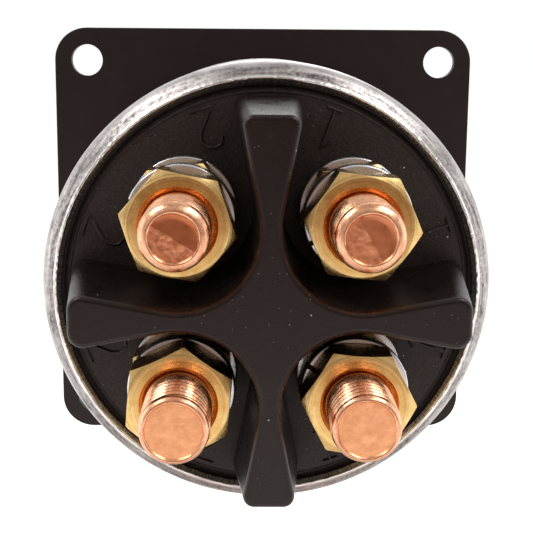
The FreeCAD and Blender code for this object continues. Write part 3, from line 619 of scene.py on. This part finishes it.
def stud_length(name, head_depth, end):
    """Rings of points along a stud, from its head inside the base to the rim of its end."""
    rim, bevel = TIP_STYLES[name][:2]
    start = LAND_DEPTH - 1.0
    neck = head_depth + STUD_HEAD_THICK
    points = []
    for radius, depth in ((STUD_HEAD_RADIUS, head_depth), (STUD_HEAD_RADIUS, neck), (STUD_RADIUS, neck),
                          (STUD_RADIUS, start - 0.3)):
        points += [polar_point(radius, angle, depth) for angle in STUD_TURNS]
    rows = int((end - start) / THREAD_PITCH * STEPS_PER_PITCH)
    for row in range(rows + 1):
        depth = start + (end - start) * row / rows
        for column, angle in enumerate(STUD_TURNS):
            radius = stud_section_radius(column / STUD_COLUMNS, depth, end, rim, bevel)
            points.append(polar_point(radius, angle, depth))
    return points


def stud_cup(name, end):
    """Rings of points over a stud's end: down the wall of its cup, then inwards over the floor."""
    rim, _, rough, crease = TIP_STYLES[name]
    edge = rim - CUP_LIP
    wall = [(rim - 0.10, 0.02), (edge, 0.07), (edge - CUP_WALL * 0.5, CUP_DEPTH * 0.55),
            (edge - CUP_WALL, CUP_DEPTH)]
    points = []
    for row, (radius, fall) in enumerate(wall):
        for angle in STUD_TURNS:
            reach = radius + cup_wobble(name, angle) * min(1, row / 2)
            points.append(polar_point(reach, angle, end - fall))
    for ring in range(1, CUP_RINGS):
        for angle in STUD_TURNS:
            reach = (edge - CUP_WALL + cup_wobble(name, angle)) * (1 - ring / CUP_RINGS)
            spot = Vector((reach * math.cos(angle), reach * math.sin(angle), 0))
            height = floor_height(name, spot, rough, crease) * min(1, ring / 3)
            points.append(in_frame(spot.x, spot.y, end - CUP_DEPTH + height))
    return points


def threaded_stud(name):
    """One stud: head inside the base, plain shank through it, thread to the end and a cupped tip."""
    head_depth, end = depth_range("terminal_stud_" + name)
    length = stud_length(name, head_depth, end)
    vertices = length + stud_cup(name, end)
    faces = ring_faces(len(vertices) // STUD_COLUMNS, STUD_COLUMNS, closed_rows=False)
    last = len(vertices) - STUD_COLUMNS
    tip_centre = len(vertices)
    head_centre = tip_centre + 1
    vertices += [in_frame(0, 0, end - CUP_DEPTH), in_frame(0, 0, head_depth)]
    for column in range(STUD_COLUMNS):
        following = (column + 1) % STUD_COLUMNS
        faces.append((last + column, last + following, tip_centre))
        faces.append((following, column, head_centre))
    tip_look = PALETTE.get(name + "_tip", PALETTE["clean_tip"])
    piece = new_piece("stud_" + name, vertices, faces, [PALETTE["copper"], tip_look],
                      STUD_CENTRES[name], sharp_degrees=50)
    for polygon in piece.data.polygons[len(length) + 2 * STUD_COLUMNS:]:
        if -polygon.center.y / MM > end - 1:
            polygon.material_index = 1
    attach(piece, "housing")
    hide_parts("terminal_stud_" + name)


# ---- nuts and washers ----------------------------------------------------------------------------------

NUT_FLATS = 19.05
NUT_BORE = STUD_RADIUS - 0.35
NUT_CHAMFER_ANGLE = 33
NUT_DOME = 0.12           # how far a nut's face falls from its hole to its chamfer
EDGE_BREAK = 0.07         # how much each sharp edge of a nut is broken
NUT_COLUMNS = 192

WASHER_HOLE = STUD_RADIUS + 0.15
WASHER_RADIUS = 10.7
LOCK_WASHER_RADIUS = 10.5
LOCK_WASHER_SLIT = 0.11   # width of the cut, in radians
LOCK_WASHER_LIFT = 0.20   # how far one end stands above the other

# Turn of each hexagon and of each lock washer's slit about its stud, in degrees.
FRONT_TURN = {"upper_left": 49, "upper_right": 54, "lower_left": 25, "lower_right": 57}
REAR_TURN = {"upper_left": 8, "upper_right": 8, "lower_left": 33, "lower_right": 12}
SLIT_TURN = {"upper_left": 160, "upper_right": 205, "lower_left": 140, "lower_right": 150}


def hexagon_radius(angle, half_flats):
    """Distance to a hexagon's side in a given direction, with a corner at angle 0."""
    sector = math.pi / 3
    local = (angle + sector / 2) % sector - sector / 2
    return half_flats / math.cos(sector / 2 - abs(local))


def half_nut_section(edge):
    """Half of a nut's section, as (radius, fall) points from its bore out to its side, edge away."""
    slope = math.tan(math.radians(NUT_CHAMFER_ANGLE))
    drop = (edge - NUT_CHAMFER_RADIUS) * slope
    return [
        (NUT_BORE, (NUT_COUNTERSINK - NUT_BORE) * 0.7),
        (NUT_COUNTERSINK, EDGE_BREAK * 0.5),
        (NUT_COUNTERSINK + EDGE_BREAK, 0.0),
        (NUT_CHAMFER_RADIUS - EDGE_BREAK, NUT_DOME),
        (NUT_CHAMFER_RADIUS + EDGE_BREAK * 0.5, NUT_DOME + EDGE_BREAK * 0.6),
        (edge - EDGE_BREAK, NUT_DOME + drop - EDGE_BREAK * slope),
        (edge, NUT_DOME + drop + EDGE_BREAK),
    ]


def nut(name, place, turn, low, high, node):
    """A hexagon nut whose faces are turned to a circle and whose hole is countersunk at both ends."""
    angles = [2 * math.pi * column / NUT_COLUMNS for column in range(NUT_COLUMNS)]
    sections = []
    for angle in angles:
        half = half_nut_section(hexagon_radius(angle - math.radians(turn), NUT_FLATS / 2))
        front = [(radius, high - fall) for radius, fall in half]
        rear = [(radius, low + fall) for radius, fall in reversed(half)]
        sections.append(front + rear)
    rows = len(sections[0])
    vertices = []
    for row in range(rows):
        for angle, section in zip(angles, sections):
            radius, depth = section[row]
            vertices.append(polar_point(radius, angle, depth))
    piece = new_piece(name, vertices, ring_faces(rows, NUT_COLUMNS), PALETTE["brass"], place, 14)
    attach(piece, "housing")
    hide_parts(node)


def rounded_section(inner, outer, low, high, edge):
    """A washer's section as (radius, depth) points, its four corners rounded."""
    points = []
    corners = ((outer - edge, high - edge, 0), (inner + edge, high - edge, 90),
               (inner + edge, low + edge, 180), (outer - edge, low + edge, 270))
    for radius, depth, start in corners:
        points += arc_points((radius, depth), edge, start, start + 90, 3)
    return points


def flat_washer(name, place, low, high):
    """The plated washer under a rear nut."""
    section = rounded_section(WASHER_HOLE, WASHER_RADIUS, low, high, 0.35)
    piece = lathe(name, section, PALETTE["zinc"], place, columns=96, sharp_degrees=60)
    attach(piece, "housing")
    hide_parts("base_washers")


def split_washer(name, place, low, high, turn):
    """A spring washer nearly flattened by its nut: a slanted cut, with its ends a little apart."""
    section = rounded_section(WASHER_HOLE, LOCK_WASHER_RADIUS, low + 0.12, high - 0.12, 0.4)
    steps = 110
    middle = (low + high) / 2
    vertices = []
    for step in range(steps + 1):
        share = step / steps
        for radius, depth in section:
            slant = LOCK_WASHER_SLIT * (0.5 + 0.6 * (depth - middle) / (high - low))
            angle = math.radians(turn) + slant + share * (2 * math.pi - LOCK_WASHER_SLIT)
            vertices.append(polar_point(radius, angle, depth + (share - 0.5) * LOCK_WASHER_LIFT))
    count = len(section)
    faces = []
    for step in range(steps):
        for index in range(count):
            following = (index + 1) % count
            first = step * count
            faces.append((first + index, first + following, first + count + following,
                          first + count + index))
    faces.append(tuple(range(count)))
    faces.append(tuple(reversed(range(steps * count, (steps + 1) * count))))
    piece = new_piece(name, vertices, faces, PALETTE["zinc"], place, 60)
    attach(piece, "housing")
    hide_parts("lock_washers")


def stud_hardware():
    """The four studs, each with its nuts and washers."""
    for name in STUD_NAMES:
        place = STUD_CENTRES[name]
        threaded_stud(name)
        nut("front_nut_" + name, place, FRONT_TURN[name], *depth_range("front_nuts"), "front_nuts")
        nut("rear_nut_" + name, place, REAR_TURN[name], *depth_range("rear_nuts"), "rear_nuts")
        flat_washer("base_washer_" + name, place, *depth_range("base_washers"))
        split_washer("lock_washer_" + name, place, *depth_range("lock_washers"), SLIT_TURN[name])


# ---- folded can ----------------------------------------------------------------------------------------

CAN_WALL = 1.4
CAN_CORNER = 3.0
CAN_HOLE = 9.15
FOLD_ANGLE = 50.4
FOLD_ROUND = 4.0
LIP_RADIUS = 43.0
LIP_ROUND = 0.32
CAN_COLUMNS = 720


def between(start, end, share):
    """The point a share of the way from start to end, both (radius, depth)."""
    return tuple(a + (b - a) * share for a, b in zip(start, end))


def can_profile():
    """Section of the can from the shaft hole, up the outside, over the fold and back inside.

    Also gives the rows where the fold's slope starts, and where its lip starts, turns into the cut edge
    and ends.
    """
    fold = math.radians(FOLD_ANGLE)
    along = (-math.sin(fold), math.cos(fold))
    across = (-math.cos(fold), -math.sin(fold))
    bend = (CAN_RADIUS - FOLD_ROUND, FOLD_CORNER_DEPTH - FOLD_ROUND * math.tan(fold / 2))
    corner = (CAN_RADIUS - CAN_CORNER, CAN_CORNER)
    lip = (LIP_RADIUS, CAN_DEPTH)
    lip_bend = tuple(spot + (side - run) * LIP_ROUND for spot, side, run in zip(lip, across, along))
    inner = tuple(spot + side * CAN_WALL for spot, side in zip(lip, across))
    inside = CAN_RADIUS - CAN_WALL
    points = [(CAN_HOLE, 0.0), (30.0, 0.0)]
    points += arc_points(corner, CAN_CORNER, -90, 0, 8)
    points += [(CAN_RADIUS, depth) for depth in (8, 16, 24, 32, 40, 46, 50)]
    points += arc_points(bend, FOLD_ROUND, 0, FOLD_ANGLE, 10)
    slope_start = len(points)
    bend_end = points[-1]
    points += [between(bend_end, lip, share) for share in (0.35, 0.7)]
    lip_start = len(points)
    points += arc_points(lip_bend, LIP_ROUND, FOLD_ANGLE, 90 + FOLD_ANGLE, 6)
    cut_start = len(points)
    points += [between(lip, inner, share) for share in (0.35, 0.55, 0.75, 0.95)]
    cut_end = len(points)
    points += [tuple(spot - run * reach for spot, run in zip(inner, along)) for reach in (0.4, 1.4, 2.6)]
    points += [(inside, 52.6), (inside, 30), (inside, CAN_CORNER + CAN_WALL)]
    points += arc_points(corner, CAN_CORNER - CAN_WALL, 0, -90, 4)
    points += [(CAN_HOLE, CAN_WALL)]
    return points, (slope_start, lip_start, cut_start, cut_end)


def steel_can():
    """The can, its folded rim a little uneven and its lip more so."""
    profile, (slope_start, lip_start, cut_start, cut_end) = can_profile()
    uneven_start = slope_start - 4

    def uneven(radius, depth, angle, row):
        if row < uneven_start or row > cut_end + 1:
            return radius, depth
        around = Vector((math.cos(angle), math.sin(angle), 0))
        wave = noise.noise(around * 3.1 + Vector((5, 2, 1))) * 0.10
        wave += noise.noise(around * 13 + Vector((1, 7, 3))) * 0.05
        if row >= lip_start:
            wave += noise.noise(around * 38 + Vector((1, 1, 2))) * 0.14
            wave += noise.noise(around * 110 + Vector((4, 1, 2))) * 0.09
        if row >= cut_start:
            wave += noise.noise(around * 160 + Vector((row * 1.7, 4, 2))) * 0.07
        weight = min(1.0, (row - uneven_start) / 6)
        return radius + wave * 0.5 * weight, depth + wave * 0.8 * weight

    looks = [PALETTE["plated_steel"], PALETTE["burnished"], PALETTE["cut"]]
    piece = lathe("rolled_can", profile, looks, columns=CAN_COLUMNS, bend=uneven, sharp_degrees=40)
    for index, polygon in enumerate(piece.data.polygons):
        row = index // CAN_COLUMNS
        if slope_start + 1 <= row < cut_start:
            polygon.material_index = 1
        elif cut_start <= row < cut_end:
            polygon.material_index = 2
    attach(piece, "housing")
    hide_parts("steel_can")


# ---- rounded rim of the base's land ---------------------------------------------------------------------

LAND_RIM_RADIUS = 40.28
LAND_RIM_ROUND = 0.17


def land_rim():
    """The soft raised edge that the mould left round the land."""
    section = arc_points((LAND_RIM_RADIUS, LAND_DEPTH - 0.02), LAND_RIM_ROUND, 0, 330, 11)
    piece = lathe("land_rim", section, PALETTE["mark"], columns=360, sharp_degrees=70)
    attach(piece, "housing")


# ---- moulded marks on the base ---------------------------------------------------------------------------

MARK_HEIGHT = 8.2
MARK_WIDTH = 5.2
MARK_NEAR = 12.0          # a mark's distance from the middle along one side of its quarter
MARK_FAR = 32.9           # and along the other side
STROKE = 0.34

# Strokes of the two generic marks, in a box one wide and one high.
MARKS = {
    "one": [[(0.30, 0.80), (0.55, 1.0), (0.55, 0.0)], [(0.25, 0.0), (0.85, 0.0)]],
    "two": [[(0.08, 0.78), (0.22, 0.96), (0.50, 1.0), (0.80, 0.93), (0.92, 0.74), (0.82, 0.54),
             (0.45, 0.28), (0.08, 0.0), (0.95, 0.0)]],
}


def mark(name, shape, x, y, turn):
    """One raised mark on the base's flat land, drawn as a rounded bead and read from the rim inwards."""
    curve = bpy.data.curves.new(name, "CURVE")
    curve.dimensions = "3D"
    curve.bevel_depth = STROKE * MM
    curve.bevel_resolution = 2
    angle = math.radians(turn)
    for stroke in MARKS[shape]:
        spline = curve.splines.new("POLY")
        spline.points.add(len(stroke) - 1)
        for point, (u, v) in zip(spline.points, stroke):
            across = (u - 0.5) * MARK_WIDTH
            along = (v - 0.5) * MARK_HEIGHT
            px = x + across * math.cos(angle) - along * math.sin(angle)
            py = y + across * math.sin(angle) + along * math.cos(angle)
            point.co = (*in_frame(px, py, LAND_DEPTH + STROKE * 0.1), 1)
    flat = bpy.data.objects.new(name + "_curve", curve)
    bpy.context.scene.collection.objects.link(flat)
    bpy.context.view_layer.update()
    mesh = bpy.data.meshes.new_from_object(flat.evaluated_get(bpy.context.evaluated_depsgraph_get()))
    bpy.data.objects.remove(flat)
    mesh.name = name
    mesh.shade_smooth()
    mesh.materials.clear()
    mesh.materials.append(PALETTE["mark"])
    piece = bpy.data.objects.new(name, mesh)
    bpy.context.scene.collection.objects.link(piece)
    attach(piece, "housing")


def marks():
    """Two marks beside each stud: ones for the right-hand pole and twos for the left-hand pole."""
    for name in STUD_NAMES:
        x_side = 1 if STUD_CENTRES[name][0] > 0 else -1
        y_side = 1 if STUD_CENTRES[name][1] > 0 else -1
        shape = "one" if x_side > 0 else "two"
        for tag, across, up in (("a", MARK_NEAR, MARK_FAR), ("b", MARK_FAR, MARK_NEAR)):
            x = across * x_side
            y = up * y_side
            turn = math.degrees(math.atan2(y, x)) + 90
            mark("mark_%s_%s" % (name, tag), shape, x, y, turn)


# ---- front legend ----------------------------------------------------------------------------------------

LEGEND_REACH = 49.0       # distance of both marks from the switch axis
LEGEND_HALF = 3.2         # half of the bar's length and the ring's outer radius
LEGEND_STROKE = 0.55      # half of a stroke's width
LEGEND_THICK = 0.08
OPEN_ANGLE = 135          # direction of the lever when the switch is open, in degrees


def printed(name, outline, hole=None):
    """A thin flat shape on the plate's front, given by its outline and its hole's outline."""
    front = depth_range("mounting_plate")[0]
    loops = [outline] if hole is None else [outline, hole]
    count = len(outline)
    vertices = []
    for loop in loops:
        for level in (front, front - LEGEND_THICK):
            vertices += [in_frame(x, y, level) for x, y in loop]
    faces = []
    if hole is None:
        faces += [tuple(range(count)), tuple(range(count, 2 * count))]
    for index in range(count):
        following = (index + 1) % count
        for first in range(0, len(vertices), 2 * count):
            faces.append((first + index, first + following, first + count + following, first + count + index))
        if hole is not None:
            for first in (0, count):
                inner = first + 2 * count
                faces.append((first + index, first + following, inner + following, inner + index))
    piece = new_piece(name, vertices, faces, PALETTE["print"])
    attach(piece, "housing")


def legend():
    """Printed position marks on the plate's front: a bar where the lever closes and a ring where it opens."""
    low, high = LEGEND_REACH - LEGEND_HALF, LEGEND_REACH + LEGEND_HALF
    printed("legend_closed", [(-LEGEND_STROKE, low), (LEGEND_STROKE, low), (LEGEND_STROKE, high),
                              (-LEGEND_STROKE, high)])
    angle = math.radians(OPEN_ANGLE)
    x = LEGEND_REACH * math.cos(angle)
    y = LEGEND_REACH * math.sin(angle)
    turns = [2 * math.pi * index / 48 for index in range(48)]
    circles = []
    for radius in (LEGEND_HALF, LEGEND_HALF - 2 * LEGEND_STROKE):
        circles.append([(x + radius * math.cos(turn), y + radius * math.sin(turn)) for turn in turns])
    printed("legend_open", *circles)


# ---- surroundings ----------------------------------------------------------------------------------------

CAMERA_PLACE = (-4.87, -235.80, 48.00)   # millimetres
CAMERA_TURN = (81.58, -0.43, -0.84)      # degrees
CAMERA_LENS = 60.72
CAMERA_SHIFT = (0.0159, -0.1523)


def camera():
    """The camera, looking at the studs from slightly above the switch axis."""
    data = bpy.data.cameras.new("camera")
    data.lens = CAMERA_LENS
    data.sensor_width = 36.0
    data.shift_x, data.shift_y = CAMERA_SHIFT
    data.clip_start = 0.01
    data.clip_end = 20
    made = bpy.data.objects.new("camera", data)
    made.location = Vector(CAMERA_PLACE) * MM
    made.rotation_euler = Euler([math.radians(angle) for angle in CAMERA_TURN], "XYZ")
    bpy.context.scene.collection.objects.link(made)
    bpy.context.scene.camera = made


# How bright the studio's dome is behind the switch, overhead and on the camera's side.
BEHIND_BRIGHT = 1.02
OVERHEAD = 0.64
WARM_DIM = (0.38, 0.27, 0.21)

# The floor and the lights, in metres.
FLOOR_SIZE = 14
FLOOR_HEIGHT = -0.26
# Inner and outer radius of the painted shadow on the floor under the switch.
FLOOR_PAINTED_SHADOW_INNER = 0.08
FLOOR_PAINTED_SHADOW_OUTER = 0.30
LIGHT_TARGET = Vector((0, -0.06, 0))


def studio_world():
    """A studio dome: white behind the switch, grey overhead and a warm dim room on the camera's side."""
    world = bpy.data.worlds.new("studio")
    world.use_nodes = True
    tree = world.node_tree
    background = tree.nodes["Background"]
    coordinates = tree.nodes.new("ShaderNodeTexCoord")
    split = tree.nodes.new("ShaderNodeSeparateXYZ")
    tree.links.new(coordinates.outputs["Generated"], split.inputs["Vector"])
    ramp = tree.nodes.new("ShaderNodeValToRGB")
    stops = ((0.03, WARM_DIM), (0.26, (OVERHEAD, OVERHEAD * 0.95, OVERHEAD * 0.92)),
             (0.54, (OVERHEAD, OVERHEAD, OVERHEAD)), (0.74, (BEHIND_BRIGHT,) * 3))
    elements = ramp.color_ramp.elements
    while len(elements) < len(stops):
        elements.new(0.5)
    for element, (position, colour) in zip(elements, stops):
        element.position = position
        element.color = (*colour, 1)
    halved = tree.nodes.new("ShaderNodeMath")
    halved.operation = "MULTIPLY_ADD"
    halved.inputs[1].default_value = 0.5
    halved.inputs[2].default_value = 0.5
    tree.links.new(split.outputs["Y"], halved.inputs[0])
    tree.links.new(halved.outputs["Value"], ramp.inputs["Fac"])
    tree.links.new(ramp.outputs["Color"], background.inputs["Color"])
    background.inputs["Strength"].default_value = 1.0
    bpy.context.scene.world = world


def pale_floor():
    """A white table with a painted shadow right under the switch and a painted glow round it, that darkens to a
    warm grey on the camera's side.
    """
    made = Material("pale_floor", (0.80, 0.80, 0.80), 0.9)
    axes = made.axes()
    near = made.grade(axes["Y"], -1.5, -0.5, 0, 1)
    # Painted shadow: the floor is greyer within these radii of the switch.
    clear = made.grade(made.length(axes["X"], axes["Y"]), FLOOR_PAINTED_SHADOW_INNER, FLOOR_PAINTED_SHADOW_OUTER, 0, 1)
    painted_glow_mask = made.maths("MULTIPLY", near, clear)
    far = made.grade(axes["Y"], -4.0, -1.5, 0, 1)
    distant = made.mix(far, (0.20, 0.125, 0.09), (0.60, 0.40, 0.35))
    painted_shadow_colour = made.mix(clear, (0.58, 0.50, 0.46), (0.82, 0.82, 0.82))
    made.colour(made.mix(near, distant, painted_shadow_colour))
    # The floor glows with painted light outside the painted shadow, and barely at all beyond half a metre on
    # the camera's side.
    made.shader.inputs["Emission Color"].default_value = (1, 1, 1, 1)
    made.link(made.grade(painted_glow_mask, 0, 1, 0.03, 0.46), made.shader.inputs["Emission Strength"])
    bpy.ops.mesh.primitive_plane_add(size=FLOOR_SIZE, location=(0, 0, FLOOR_HEIGHT))
    floor = bpy.context.object
    floor.name = "floor"
    floor.data.materials.append(made.material)


def softbox(name, direction, distance, size, power):
    """A square light at a distance along a direction, facing the studs."""
    data = bpy.data.lights.new(name, "AREA")
    data.shape = "SQUARE"
    data.size = size
    data.energy = power
    made = bpy.data.objects.new(name, data)
    made.location = LIGHT_TARGET + Vector(direction).normalized() * distance
    made.rotation_euler = (LIGHT_TARGET - made.location).to_track_quat("-Z", "Y").to_euler()
    bpy.context.scene.collection.objects.link(made)


def surroundings():
    """The dome, the floor and soft lights above, behind and at both sides."""
    studio_world()
    pale_floor()
    softbox("upper_left_softbox", (-0.64, -0.14, 0.76), 0.75, 0.34, 1.9)
    softbox("upper_right_softbox", (0.62, -0.16, 0.77), 0.75, 0.34, 1.8)
    softbox("camera_top_softbox", (0.42, -0.45, 0.79), 0.75, 0.22, 0.35)
    softbox("front_top_softbox", (0.10, 0.80, 0.50), 0.95, 0.45, 1.1)
    softbox("left_card", (-1.0, 0.15, 0.05), 1.1, 0.80, 2.0)
    softbox("right_card", (1.0, 0.15, 0.05), 1.1, 0.80, 1.8)
    bpy.context.scene.view_settings.view_transform = "Standard"


camera()
surroundings()
dress_cad_nodes()
steel_can()
stud_hardware()
land_rim()
marks()
legend()
